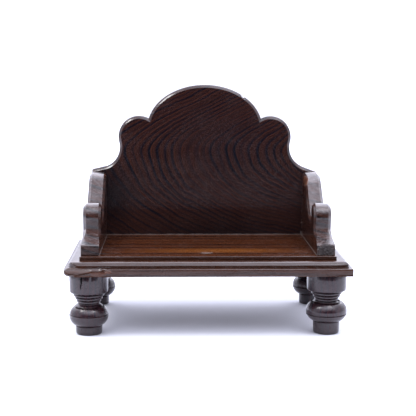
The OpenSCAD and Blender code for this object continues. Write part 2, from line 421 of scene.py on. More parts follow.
def lower_crossing(a, ra, b, rb):
    """Where two circles cross, taking the lower crossing."""
    span = b - a
    along = (ra**2 - rb**2 + span.length_squared) / (2 * span.length)
    off = math.sqrt(ra**2 - along**2)
    return a + span * along / span.length + Vector((span.y, -span.x)) * off / span.length


meet = lower_crossing(scroll_c, scroll_r, valley_c, valley_r)
print("sweep slope", round(math.degrees(slope), 1), "degrees, hollow", round(valley_r, 1), "mm")

# %% [markdown]
# The chamfers of the arms are broad on the sweep and round the scroll, and die away down the slope before
# they reach the toe, as a chisel stopped short leaves them. The bevel operator cuts them at one width, and
# a small loop then closes them towards the toe.

# %% Arms: build one arm
CHAMFERS = {"outer": 3.5, "inner": 2.5}
CHIPS = {
    1: [((113.8, 52.0, 149.5), 10.0, (3.0, 0.0, -3.0)), ((113.8, 34.0, 137.0), 6.0, (1.3, 0.0, -1.5))],
    -1: [((-113.8, 60.0, 153.5), 6.0, (-1.6, 0.0, -1.6))],
}


def stop_chamfers(bm, face_x, sign, base, width):
    """Closes the chamfers over the lower part of the slope."""
    normal = Vector((0, -math.sin(math.atan2(*(groove - toe).yx)), math.cos(math.atan2(*(groove - toe).yx))))
    for vert in bm.verts:
        forward = vert.co.y - base.y
        rest = 1 - fade(forward, 1.5, 27)
        if forward < 27.5 and vert.co.z > base.z + 3:
            depth = sign * (face_x - vert.co.x)
            if abs(depth - width) < 0.05:
                vert.co.x += sign * width * rest
            elif abs(depth) < 0.05 and forward > 0.2:
                vert.co += normal * width * rest


def build_arm(name, node, side):
    """One arm: side is 1 for the right one and -1 for the left one."""
    low, high = box_mm(node)
    base = Vector((low.x, low.y, low.z))

    def at(p):
        return base + Vector((0, p[0], p[1]))

    bm = bmesh.new()
    start = bm.verts.new(at((0, 0)))
    last = line_to(bm, start, at((0, 10.6)))
    last = line_to(bm, last, at((0.9, 11.8)))
    last = line_to(bm, last, at(toe))
    for i in range(1, 11):
        last = line_to(bm, last, at(toe.lerp(groove, i / 10) - Vector((0, 1.1 * math.sin(math.pi * i / 10)))))
    entry = scroll_c + scroll_r * Vector((math.cos(math.radians(192)), math.sin(math.radians(192))))
    last = line_to(bm, last, at(entry - Vector((-0.4, 1.2))))
    last = line_to(bm, last, at(entry))
    last = swing_to(bm, last, at(scroll_c), AROUND_X, angle_of(meet - scroll_c) - 192, 52)
    hollow = angle_of(meet - valley_c)
    last = swing_to(bm, last, at(valley_c), AROUND_X, math.degrees(slope) - 90 - hollow, 22)
    top_start = top_c + top_r * Vector((-math.sin(slope), math.cos(slope)))
    rise_from = last.co.copy()
    for i in range(1, 9):
        last = line_to(bm, last, rise_from.lerp(at(top_start), i / 8))
    last = swing_to(bm, last, at(top_c), AROUND_X, -math.degrees(slope), 22)
    last = line_to(bm, last, at((arm_l, arm_h)))
    last = line_to(bm, last, at((arm_l, 0)))
    bm.edges.new((last, start))
    bmesh.ops.contextual_create(bm, geom=bm.edges[:])
    pushed = bmesh.ops.extrude_face_region(bm, geom=bm.faces[:])
    moved = [v for v in pushed["geom"] if isinstance(v, bmesh.types.BMVert)]
    bmesh.ops.translate(bm, verts=moved, vec=(arm_t, 0, 0))
    bmesh.ops.recalc_face_normals(bm, faces=bm.faces)
    widths = (CHAMFERS["inner"], CHAMFERS["outer"]) if side > 0 else (CHAMFERS["outer"], CHAMFERS["inner"])
    for face_x, width in zip((low.x, high.x), widths):
        chosen = [
            e for e in bm.edges
            if all(abs(v.co.x - face_x) < 0.01 for v in e.verts)
            and not all(v.co.z < base.z + 0.01 for v in e.verts)
            and not all(v.co.y > base.y + arm_l - 0.01 for v in e.verts)
            and max(v.co.z for v in e.verts) > base.z + 12.3
        ]
        ease(bm, chosen, width, 1)
    stop_chamfers(bm, low.x, -1, base, widths[0])
    stop_chamfers(bm, high.x, 1, base, widths[1])
    for centre, radius, push in CHIPS[side]:
        for vert in bm.verts:
            near = 1 - (vert.co - Vector(centre)).length / radius
            if near > 0:
                vert.co += Vector(push) * near**0.5
    for vert in bm.verts:
        vert.co += wobble(vert.co + Vector((0, 0, 40 * side)), 21, 0.25) * fade(vert.co.z - base.z, 2, 9)
        vert.co.y = min(vert.co.y, base.y + arm_l)
        vert.co.z = min(vert.co.z, base.z + arm_h)
    return bm


arms = {}
for arm_name, arm_node, arm_side in (("arm_left_carved", "left_arm", -1), ("arm_right_carved", "right_arm", 1)):
    arm_bm = build_arm(arm_name, arm_node, arm_side)
    arms[arm_side] = finish_piece(arm_name, arm_bm, "arm_wood", arm_node, crease=24)
    soften = arms[arm_side].modifiers.new("soften arrises", "BEVEL")
    soften.width = 0.5 * MM
    soften.segments = 2
    soften.limit_method = "ANGLE"
    soften.angle_limit = math.radians(24)
    soften.harden_normals = True

# %% [markdown]
# ## The legs
# A leg is lathe work, so it is a half section spun about the leg's centre: a foot, a fat bulb with a scored
# line, a small collar, a deep neck, a cup with fine grooves and a plain drum. The four were turned by eye,
# and the two in front differ by a couple of millimetres, so the section takes a lift and a girth.

# %% Legs: half section and spin
SCORE_Z = 20.4  # the turner marked the same scored ridge on every leg


def leg_section(lift, girth, foot, top):
    """Half section as radius and height, from the floor to the top of the drum."""
    bulb = 21.8 + lift
    neck = 33.6 + 0.4 * lift
    lip = 45.6 + 0.4 * lift
    cup = lip - neck

    def ring(angle):
        a = math.radians(angle)
        return (9.5 + 11.5 * math.cos(a)) * girth, bulb + 11.5 * math.sin(a)

    points = [(0.0, 0.0), (foot - 2.2, 0.0), (foot - 1.1, 0.25), (foot - 0.5, 0.9), (foot - 0.3, 2.2)]
    points += [(foot - 0.2, 5.0), (foot, bulb - 11.2), (foot - 0.3, bulb - 10.9), (foot + 0.1, bulb - 10.5)]
    score = math.degrees(math.asin((SCORE_Z - bulb) / 11.5))
    points += [ring(-62 + (score + 58) * i / 9) for i in range(10)]
    out, _ = ring(score)
    points += [(out + 0.35, SCORE_Z - 0.25), (out + 0.45, SCORE_Z + 0.1), (out - 0.45, SCORE_Z + 0.45)]
    points += [(out - 0.4, SCORE_Z + 0.8)]
    points += [ring(score + 6.5 + (45 - score) * i / 10) for i in range(11)]
    collar = bulb + 9.2
    points += [(14.2, collar - 0.1), (13.5, collar), (14.3, collar + 0.35), (14.6, collar + 0.9)]
    points += [(14.1, collar + 1.4), (12.6, neck - 1.0), (11.5, neck - 0.5), (11.3, neck), (11.6, neck + 0.7)]
    for share, radius in ((0.17, 12.6), (0.45, 14.3), (0.74, 16.2)):
        z = neck + share * cup
        points += [(radius - 1.1, z - 1.2), (radius - 0.2, z - 0.7), (radius + 0.1, z + 0.3), (radius - 0.1, z + 1.1)]
        points += [(radius - 0.6, z + 1.45)]
    points += [(17.3, lip - 0.5)]
    drum = 0.5 * (1 + girth)
    points += [
        ((18.3 + 2.2 * math.cos(math.radians(a))) * drum, lip + 1.6 + 2.2 * math.sin(math.radians(a)))
        for a in range(-80, 1, 16)
    ]
    points += [(r * drum, z) for r, z in ((20.6, lip + 6), (20.7, top - 6), (20.7, top - 0.7), (20.3, top), (0.0, top))]
    return points


def build_leg(name, node, lift, girth, foot):
    """Spins the section about the leg's own axis and leaves it slightly out of true."""
    low, high = box_mm(node)
    centre = Vector(((low.x + high.x) / 2, (low.y + high.y) / 2, 0))
    bm = bmesh.new()
    section = leg_section(lift, girth, foot, seat_low.z)
    last = bm.verts.new(centre + Vector((section[0][0], 0, section[0][1])))
    for radius, height in section[1:]:
        last = line_to(bm, last, centre + Vector((radius, 0, height)))
    bmesh.ops.spin(
        bm, geom=bm.verts[:] + bm.edges[:], cent=centre, axis=(0, 0, 1), dvec=(0, 0, 0),
        angle=math.radians(360), steps=96, use_merge=True, use_duplicate=False,
    )
    bmesh.ops.remove_doubles(bm, verts=bm.verts, dist=0.004)
    for vert in bm.verts:
        arm = vert.co - centre
        arm.z = 0
        if arm.length > 1 and 0.5 < vert.co.z < seat_low.z - 0.1:
            turn = arm.normalized()
            uneven = noise.noise((turn.x * 2.1 + lift, turn.y * 2.1, vert.co.z / 24))
            tooled = noise.noise((turn.x * 6 + lift, turn.y * 6, vert.co.z / 9))
            vert.co += turn * (0.3 * uneven + 0.16 * tooled) * fade(vert.co.z, 0.5, 6)
            split = abs(math.degrees(math.atan2(turn.x, -turn.y)) + 19.5) < 1.9
            if split and lift < -2 and vert.co.z > 55:
                vert.co -= turn * 2.2 * fade(vert.co.z, 50, 59)
    return finish_piece(name, bm, "leg_wood", node, crease=38)


legs = [
    build_leg("leg_front_left_turned", "front_left_leg", -2.1, 0.97, 14.0),
    build_leg("leg_front_right_turned", "front_right_leg", 2.1, 1.028, 14.0),
    build_leg("leg_rear_left_turned", "rear_left_leg", -0.8, 0.96, 12.6),
    build_leg("leg_rear_right_turned", "rear_right_leg", 0.8, 0.96, 12.6),
]

# %% [markdown]
# ## Building shader graphs
# Wood needs the same few effects again and again: growth rings, fibres, worn edges, grime in corners and
# pale lines where boards are glued. Each effect is one node group with named sockets. Two small helpers keep
# the graphs readable: node makes a node and plugs its inputs, and calc does one step of arithmetic.

# %% Shader helpers
def node(tree, kind, plugs=None, **settings):
    """A new node with its settings made and its inputs set or linked."""
    made = tree.nodes.new(kind)
    for key, value in settings.items():
        setattr(made, key, value)
    for key, value in (plugs or {}).items():
        if isinstance(value, bpy.types.NodeSocket):
            tree.links.new(value, made.inputs[key])
        else:
            made.inputs[key].default_value = value
    return made


def calc(tree, operation, *values, clamp=False):
    """One Math node; returns its result."""
    return node(tree, "ShaderNodeMath", dict(enumerate(values)), operation=operation, use_clamp=clamp).outputs[0]


def ramp(tree, value, low, high, to_low=0.0, to_high=1.0, kind="SMOOTHSTEP"):
    """Maps one range softly onto another."""
    plugs = {"Value": value, "From Min": low, "From Max": high, "To Min": to_low, "To Max": to_high}
    return node(tree, "ShaderNodeMapRange", plugs, interpolation_type=kind).outputs["Result"]


def new_group(name, inputs, outputs):
    """An empty node group with named sockets."""
    tree = bpy.data.node_groups.new(name, "ShaderNodeTree")
    for label, (kind, default) in inputs.items():
        socket = tree.interface.new_socket(label, in_out="INPUT", socket_type=kind)
        if default is not None:
            socket.default_value = default
    for label, kind in outputs.items():
        tree.interface.new_socket(label, in_out="OUTPUT", socket_type=kind)
    return tree, tree.nodes.new("NodeGroupInput").outputs, tree.nodes.new("NodeGroupOutput").inputs


def use_group(tree, group, plugs):
    """Places a node group in a graph."""
    made = node(tree, "ShaderNodeGroup", node_tree=group)
    for key, value in plugs.items():
        if isinstance(value, bpy.types.NodeSocket):
            tree.links.new(value, made.inputs[key])
        else:
            made.inputs[key].default_value = value
    return made.outputs


FLOAT, VECTOR = "NodeSocketFloat", "NodeSocketVector"

# %% [markdown]
# ## Growth rings
# Rosewood's figure is dark late wood between redder early wood, in rings of uneven width. The group takes a
# label, a distance in millimetres across the rings, and bends it with slow noise so that rings crowd and
# spread. Inside each ring the tone darkens slowly and ends in a dark line. A second, finer set of lines lies
# between them.

# %% Growth ring group
ring_tree, ring_in, ring_out = new_group(
    "growth_rings",
    {"Label": (FLOAT, 0.0), "Ring Width": (FLOAT, 10.0), "Crowding": (FLOAT, 14.0), "Fine Lines": (FLOAT, 0.35)},
    {"Dark": FLOAT, "Line": FLOAT},
)
slow = node(ring_tree, "ShaderNodeTexNoise", {
    "W": calc(ring_tree, "MULTIPLY", ring_in["Label"], 0.03), "Scale": 1.0, "Detail": 2.0,
}, noise_dimensions="1D").outputs[0]
bent = calc(ring_tree, "ADD", ring_in["Label"],
            calc(ring_tree, "MULTIPLY", calc(ring_tree, "SUBTRACT", slow, 0.5), ring_in["Crowding"]))
counted = calc(ring_tree, "DIVIDE", bent, ring_in["Ring Width"])
across = calc(ring_tree, "FRACT", counted)
which = calc(ring_tree, "FLOOR", counted)
strength = node(ring_tree, "ShaderNodeTexWhiteNoise", {"W": which}, noise_dimensions="1D").outputs["Value"]
late = calc(ring_tree, "MULTIPLY", ramp(ring_tree, across, 0.42, 0.74), ramp(ring_tree, across, 1.0, 0.84))
late = calc(ring_tree, "MULTIPLY", late, ramp(ring_tree, strength, 0.0, 0.8, 0.55, 1.0))
shade = calc(ring_tree, "MULTIPLY", ramp(ring_tree, across, 0.0, 0.8), ramp(ring_tree, across, 1.0, 0.8))
shade = calc(ring_tree, "MULTIPLY", shade, 0.5)
fine_at = calc(ring_tree, "FRACT", calc(ring_tree, "MULTIPLY", counted, 3.3))
fine = calc(ring_tree, "MULTIPLY", ramp(ring_tree, fine_at, 0.3, 0.7), ramp(ring_tree, fine_at, 1.0, 0.7))
fine = calc(ring_tree, "MULTIPLY", fine, ring_in["Fine Lines"])
late = calc(ring_tree, "MAXIMUM", late, shade)
ring_tree.links.new(calc(ring_tree, "MAXIMUM", late, fine), ring_out["Dark"])
ring_tree.links.new(late, ring_out["Line"])
print("growth_rings:", len(ring_tree.nodes), "nodes")

# %% [markdown]
# ## Fibres and pores
# Along the grain run long faint streaks, and rosewood's open pores show as short dark dashes. Both are noise
# that is stretched along the fibres: the vector that comes in has the fibres along its X axis.

# %% Fibre group
fibre_tree, fibre_in, fibre_out = new_group(
    "fibres", {"Vector": (VECTOR, None), "Pore Depth": (FLOAT, 1.0)}, {"Streak": FLOAT, "Pore": FLOAT},
)
long_way = node(fibre_tree, "ShaderNodeMapping", {"Vector": fibre_in["Vector"], "Scale": (0.035, 0.75, 0.75)})
streak = node(fibre_tree, "ShaderNodeTexNoise", {
    "Vector": long_way.outputs[0], "Scale": 1.0, "Detail": 5.0, "Roughness": 0.62,
}).outputs[0]
short_way = node(fibre_tree, "ShaderNodeMapping", {"Vector": fibre_in["Vector"], "Scale": (0.5, 6.0, 6.0)})
pores = node(fibre_tree, "ShaderNodeTexNoise", {
    "Vector": short_way.outputs[0], "Scale": 1.0, "Detail": 2.0, "Roughness": 0.5,
}).outputs[0]
fibre_tree.links.new(streak, fibre_out["Streak"])
fibre_tree.links.new(calc(fibre_tree, "MULTIPLY", ramp(fibre_tree, pores, 0.45, 0.75), fibre_in["Pore Depth"]),
                     fibre_out["Pore"])
print("fibres:", len(fibre_tree.nodes), "nodes")

# %% [markdown]
# ## Wear and painted shade in corners
# Polish rubs off where hands touch: the outward edges. The Bevel node gives the normal a rounded edge would
# have, and how far that differs from the true normal marks the edges on any mesh. Ambient occlusion does the
# opposite job and finds the inner corners, which the materials darken as painted shade.

# %% Wear group
wear_and_shade_tree, wear_and_shade_in, wear_and_shade_out = new_group(
    "wear",
    {"Vector": (VECTOR, None), "Edge Radius": (FLOAT, 0.0012), "Edge Wear": (FLOAT, 1.0), "Shade Strength": (FLOAT, 1.0)},
    {"Edge": FLOAT, "Painted Corner Shade": FLOAT},
)
rounded = node(wear_and_shade_tree, "ShaderNodeBevel", {"Radius": wear_and_shade_in["Edge Radius"]}, samples=4).outputs[0]
true_normal = node(wear_and_shade_tree, "ShaderNodeNewGeometry").outputs["Normal"]
same_way = node(wear_and_shade_tree, "ShaderNodeVectorMath", {0: rounded, 1: true_normal}, operation="DOT_PRODUCT").outputs["Value"]
patchy = node(wear_and_shade_tree, "ShaderNodeTexNoise", {
    "Vector": wear_and_shade_in["Vector"], "Scale": 0.16, "Detail": 4.0, "Roughness": 0.65,
}).outputs[0]
edge = ramp(wear_and_shade_tree, same_way, 0.995, 0.86)
edge = calc(wear_and_shade_tree, "MULTIPLY", edge, ramp(wear_and_shade_tree, patchy, 0.36, 0.62))
occlusion = node(wear_and_shade_tree, "ShaderNodeAmbientOcclusion", {"Distance": 0.009}, samples=6).outputs["AO"]
# inner corners found by occlusion become a mask for painted shade
corner = calc(wear_and_shade_tree, "MULTIPLY", ramp(wear_and_shade_tree, occlusion, 0.75, 0.25), wear_and_shade_in["Shade Strength"])
wear_and_shade_tree.links.new(calc(wear_and_shade_tree, "MULTIPLY", edge, wear_and_shade_in["Edge Wear"], clamp=True), wear_and_shade_out["Edge"])
wear_and_shade_tree.links.new(corner, wear_and_shade_out["Painted Corner Shade"])
print("wear:", len(wear_and_shade_tree.nodes), "nodes")

# %% [markdown]
# ## Pale joint lines
# Glue and old wax show as a thin pale line where the arms and the back board meet the seat. The line is a
# matter of place alone, so the group works from the position: near the foot of an arm's inner face or of the
# back board's front, and close to the seat's surface.

# %% Joint line group
joint_tree, joint_in, joint_out = new_group(
    "joint_line",
    {"Vector": (VECTOR, None), "Half Width": (FLOAT, 0.5), "Arm Face": (FLOAT, 114.3), "Back Face": (FLOAT, 68.0),
     "Seat Height": (FLOAT, 83.2)},
    {"Line": FLOAT},
)
spot = node(joint_tree, "ShaderNodeSeparateXYZ", {0: joint_in["Vector"]}).outputs
wander = node(joint_tree, "ShaderNodeTexNoise", {
    "Vector": joint_in["Vector"], "Scale": 0.12, "Detail": 3.0,
}).outputs[0]
half = calc(joint_tree, "MULTIPLY", joint_in["Half Width"], ramp(joint_tree, wander, 0.3, 0.7, 0.6, 1.15))
side_gap = calc(joint_tree, "ABSOLUTE", calc(joint_tree, "SUBTRACT", calc(joint_tree, "ABSOLUTE", spot["X"]), joint_in["Arm Face"]))
rear_gap = calc(joint_tree, "ABSOLUTE", calc(joint_tree, "SUBTRACT", spot["Y"], joint_in["Back Face"]))
inside = calc(joint_tree, "LESS_THAN", calc(joint_tree, "ABSOLUTE", spot["X"]), calc(joint_tree, "ADD", joint_in["Arm Face"], 0.8))
before = calc(joint_tree, "LESS_THAN", spot["Y"], calc(joint_tree, "ADD", joint_in["Back Face"], 0.8))
along_arm = calc(joint_tree, "MULTIPLY", calc(joint_tree, "LESS_THAN", side_gap, half), before)
along_arm = calc(joint_tree, "MULTIPLY", along_arm, calc(joint_tree, "GREATER_THAN", spot["Y"], -76.5))
along_back = calc(joint_tree, "MULTIPLY", calc(joint_tree, "LESS_THAN", rear_gap, half), inside)
low_down = calc(joint_tree, "LESS_THAN", calc(joint_tree, "ABSOLUTE", calc(joint_tree, "SUBTRACT", spot["Z"], joint_in["Seat Height"])),
                calc(joint_tree, "MULTIPLY", half, 1.8))
flat_line = calc(joint_tree, "MULTIPLY", calc(joint_tree, "MAXIMUM", along_arm, along_back), low_down)
specks = node(joint_tree, "ShaderNodeTexNoise", {"Vector": joint_in["Vector"], "Scale": 0.45, "Detail": 2.0}).outputs[0]
upright = calc(joint_tree, "MULTIPLY", calc(joint_tree, "LESS_THAN", side_gap, 1.3), calc(joint_tree, "LESS_THAN", rear_gap, 1.6))
upright = calc(joint_tree, "MULTIPLY", upright, ramp(joint_tree, specks, 0.54, 0.62))
upright = calc(joint_tree, "MULTIPLY", upright, ramp(joint_tree, spot["Z"], 128.0, 104.0))
upright = calc(joint_tree, "MULTIPLY", upright, calc(joint_tree, "GREATER_THAN", spot["X"], 0.0))
joint_tree.links.new(calc(joint_tree, "MAXIMUM", flat_line, upright), joint_out["Line"])
print("joint_line:", len(joint_tree.nodes), "nodes")

# %% [markdown]
# ## Marks in one place
# A scuff, a rubbed toe or a chip is an uneven spot at a known place. The same masks also lay painted shade and
# a painted sheen on the back board, and painted shade in the front left leg's crack. The group gives a soft
# ellipsoid mask with a ragged rim.

# %% Spot group
spot_tree, spot_in, spot_out = new_group(
    "spot", {"Vector": (VECTOR, None), "Centre": (VECTOR, None), "Reach": (VECTOR, None), "Softness": (FLOAT, 0.3)},
    {"Mask": FLOAT},
)
offset = node(spot_tree, "ShaderNodeVectorMath", {0: spot_in["Vector"], 1: spot_in["Centre"]}, operation="SUBTRACT").outputs[0]
shaped = node(spot_tree, "ShaderNodeVectorMath", {0: offset, 1: spot_in["Reach"]}, operation="DIVIDE").outputs[0]
away = node(spot_tree, "ShaderNodeVectorMath", {0: shaped}, operation="LENGTH").outputs["Value"]
ragged = node(spot_tree, "ShaderNodeTexNoise", {"Vector": spot_in["Vector"], "Scale": 0.5, "Detail": 4.0, "Roughness": 0.7}).outputs[0]
ragged_away = calc(spot_tree, "ADD", away, calc(spot_tree, "MULTIPLY", calc(spot_tree, "SUBTRACT", ragged, 0.5), 1.3))
inner = calc(spot_tree, "SUBTRACT", 1.0, spot_in["Softness"])
spot_tree.links.new(ramp(spot_tree, ragged_away, 1.0, inner), spot_out["Mask"])
print("spot:", len(spot_tree.nodes), "nodes")

# %% [markdown]
# ## Three ways a board lies in the log
# The label that the rings read is what differs from board to board. The back board was cut so that its rings
# show as nested curves that open to the right: level lines of a hyperbola above the middle line and of an
# ellipse below it. The seat and the arms were cut along the grain, so their rings are nearly straight, and a
# leg has rings round a centre that lies far off its own axis.

# %% Ring labels
def position(tree):
    """Object coordinates in millimetres."""
    coords = node(tree, "ShaderNodeTexCoord").outputs["Object"]
    return node(tree, "ShaderNodeVectorMath", {0: coords, "Scale": 1000.0}, operation="SCALE").outputs[0]


def drift(tree, place, scale, amount):
    """Slow noise between minus and plus half of amount."""
    value = node(tree, "ShaderNodeTexNoise", {"Vector": place, "Scale": scale, "Detail": 2.0}).outputs[0]
    return calc(tree, "MULTIPLY", calc(tree, "SUBTRACT", value, 0.5), amount)


def nested_curves(tree, place):
    """Label of the back board: curves that open to the right."""
    xyz = node(tree, "ShaderNodeSeparateXYZ", {0: place}).outputs
    x = calc(tree, "ADD", xyz["X"], drift(tree, place, 0.016, 14.0))
    v = calc(tree, "ADD", calc(tree, "SUBTRACT", xyz["Z"], 181.0), drift(tree, place, 0.03, 7.0))
    up = calc(tree, "MULTIPLY", calc(tree, "MAXIMUM", v, 0.0), 2.2)
    down = calc(tree, "MULTIPLY", calc(tree, "MINIMUM", v, 0.0), 2.37)
    above = calc(tree, "SUBTRACT", calc(tree, "SQRT", calc(tree, "ADD", calc(tree, "MULTIPLY", up, up), 3600.0)), 60.0)
    to_centre = calc(tree, "SUBTRACT", 201.0, x)
    below = calc(tree, "SQRT", calc(tree, "ADD", calc(tree, "MULTIPLY", to_centre, to_centre), calc(tree, "MULTIPLY", down, down)))
    return calc(tree, "SUBTRACT", calc(tree, "SUBTRACT", 201.0, below), above)


def straight_rings(across, wave, start=0.0):
    """Label of a board cut along the grain; across is the direction that crosses the rings."""
    def label(tree, place):
        flat = node(tree, "ShaderNodeVectorMath", {0: place, 1: across}, operation="DOT_PRODUCT").outputs["Value"]
        stretched = node(tree, "ShaderNodeMapping", {"Vector": place, "Scale": (0.006, 0.02, 0.02), "Location": (start, 0, 0)}).outputs[0]
        return calc(tree, "ADD", flat, drift(tree, stretched, 1.0, wave))
    return label


def round_rings(centre):
    """Label of a leg: distance from the heart of the tree, which lies outside the leg."""
    def label(tree, place):
        flat = node(tree, "ShaderNodeVectorMath", {0: place, 1: (1, 1, 0)}, operation="MULTIPLY").outputs[0]
        apart = node(tree, "ShaderNodeVectorMath", {0: flat, 1: centre}, operation="DISTANCE").outputs["Value"]
        return calc(tree, "ADD", apart, drift(tree, place, 0.03, 6.0))
    return label


# %% [markdown]
# ## One rosewood, several boards
# All the boards are one wood under one wax, so one function builds every material: rings between two tones,
# streaks and pores over them, then wear, painted shade in the inner corners and joint lines. What changes is
# the label, the two tones, the direction of the fibres and how worn the piece is.

# %% Rosewood
PALE_DUST = (0.20, 0.165, 0.15, 1.0)
BARE_WOOD = (0.115, 0.042, 0.022, 1.0)
# near black: the wood's dark pores, and also painted shade in inner corners and in a leg's crack
PORE_BLACK_AND_PAINTED_SHADE = (0.006, 0.004, 0.004, 1.0)


def blend_colour(tree, share, under, over, kind="MIX"):
    """Mixes two colours by a mask."""
    made = node(tree, "ShaderNodeMix", {"Factor": share}, data_type="RGBA", blend_type=kind, clamp_factor=True)
    for key, value in (("A", under), ("B", over)):
        socket = [s for s in made.inputs if s.name == key and s.type == "RGBA"][0]
        if isinstance(value, bpy.types.NodeSocket):
            tree.links.new(value, socket)
        else:
            socket.default_value = value
    return [s for s in made.outputs if s.type == "RGBA"][0]


def rosewood(name, label, light, dark, ring_width, turn=(0, 0, 0), fine=0.35, crowding=14.0,
             edge_wear=0.6, gloss=0.3, tooling=0.55, tool_scale=0.07, wax=0.3, coarse=1.0, along_rings=False, below=None, spots=()):
    """A waxed rosewood material for one board. Each spot has a centre, a reach, a tone, and how much it
    colours and roughens the surface; below darkens everything under a height, such as a moulding."""
    material = bpy.data.materials.new(name)
    material.use_nodes = True
    tree = material.node_tree
    shader = tree.nodes["Principled BSDF"]
    place = position(tree)
    across = label(tree, place)
    rings = use_group(tree, ring_tree, {
        "Label": across, "Ring Width": ring_width, "Crowding": crowding, "Fine Lines": fine,
    })
    xyz = node(tree, "ShaderNodeSeparateXYZ", {0: place}).outputs
    if along_rings:
        grain = node(tree, "ShaderNodeCombineXYZ", {0: xyz["Z"], 1: across, 2: xyz["Y"]}).outputs[0]
    else:
        grain = place
    fibres_way = node(tree, "ShaderNodeMapping", {
        "Vector": grain, "Rotation": turn, "Scale": (coarse, coarse, coarse),
    }).outputs[0]
    fibre = use_group(tree, fibre_tree, {"Vector": fibres_way, "Pore Depth": 1.0})
    worn = use_group(tree, wear_and_shade_tree, {"Vector": place, "Edge Radius": 0.0012, "Edge Wear": edge_wear, "Shade Strength": 0.8})
    joint = use_group(tree, joint_tree, {"Vector": place})

    colour = blend_colour(tree, rings["Dark"], light, dark)
    streaked = ramp(tree, fibre["Streak"], 0.3, 0.7, 0.72, 1.3, kind="LINEAR")
    grey = node(tree, "ShaderNodeCombineColor", {0: streaked, 1: streaked, 2: streaked}).outputs[0]
    colour = blend_colour(tree, 1.0, colour, grey, kind="MULTIPLY")
    colour = blend_colour(tree, calc(tree, "MULTIPLY", fibre["Pore"], 0.4), colour, PORE_BLACK_AND_PAINTED_SHADE)
    colour = blend_colour(tree, calc(tree, "MULTIPLY", worn["Edge"], 0.55), colour, BARE_WOOD)
    if below:
        under = calc(tree, "MULTIPLY", ramp(tree, xyz["Z"], below[0] + 0.05, below[0] - 0.25), below[1])
        colour = blend_colour(tree, under, colour, dark)
    rough_spots = 0.0
    for centre, reach, tone, amount, roughen in spots:
        softness = 1.0 if max(reach) > 30 else 0.3
        mask = use_group(tree, spot_tree, {
            "Vector": place, "Centre": centre, "Reach": reach, "Softness": softness,
        })["Mask"]
        colour = blend_colour(tree, calc(tree, "MULTIPLY", mask, amount), colour, tone)
        if roughen:
            rough_spots = calc(tree, "MAXIMUM", calc(tree, "MULTIPLY", mask, roughen), rough_spots)
    # painted shade: inner corners are darkened towards near black
    colour = blend_colour(tree, calc(tree, "MULTIPLY", worn["Painted Corner Shade"], 0.75), colour, PORE_BLACK_AND_PAINTED_SHADE)
    colour = blend_colour(tree, calc(tree, "MULTIPLY", joint["Line"], 0.4), colour, PALE_DUST)
    tree.links.new(colour, shader.inputs["Base Color"])

    cloudy = node(tree, "ShaderNodeTexNoise", {"Vector": place, "Scale": 0.05, "Detail": 4.0, "Roughness": 0.6}).outputs[0]
    roughness = ramp(tree, cloudy, 0.3, 0.7, gloss - 0.05, gloss + 0.09, kind="LINEAR")
    roughness = calc(tree, "ADD", roughness, calc(tree, "MULTIPLY", fibre["Pore"], 0.2))
    roughness = calc(tree, "ADD", roughness, calc(tree, "MULTIPLY", worn["Edge"], 0.12))
    roughness = calc(tree, "ADD", roughness, calc(tree, "MULTIPLY", calc(tree, "MAXIMUM", rough_spots, joint["Line"]), 0.16), clamp=True)
    tree.links.new(roughness, shader.inputs["Roughness"])
    waxed = calc(tree, "MULTIPLY", ramp(tree, cloudy, 0.35, 0.6, 0.3, 1.3), wax)
    waxed = calc(tree, "SUBTRACT", waxed, calc(tree, "MAXIMUM", calc(tree, "MULTIPLY", worn["Edge"], 0.2), rough_spots), clamp=True)
    tree.links.new(waxed, shader.inputs["Coat Weight"])
    shader.inputs["Coat Roughness"].default_value = 0.1

    planed = node(tree, "ShaderNodeTexNoise", {"Vector": place, "Scale": tool_scale, "Detail": 3.0}).outputs[0]
    crumbs = node(tree, "ShaderNodeTexNoise", {"Vector": place, "Scale": 0.42, "Detail": 4.0}).outputs[0]
    height = calc(tree, "ADD", calc(tree, "MULTIPLY", planed, tooling), calc(tree, "MULTIPLY", fibre["Streak"], 0.12))
    height = calc(tree, "SUBTRACT", height, calc(tree, "MULTIPLY", fibre["Pore"], 0.08))
    height = calc(tree, "ADD", height, calc(tree, "MULTIPLY", calc(tree, "MULTIPLY", crumbs, rough_spots), 11.0))
    bump = node(tree, "ShaderNodeBump", {"Height": height, "Strength": 0.5, "Distance": 0.0006})
    tree.links.new(bump.outputs[0], shader.inputs["Normal"])
    print(name, len(tree.nodes), "nodes")
    return material


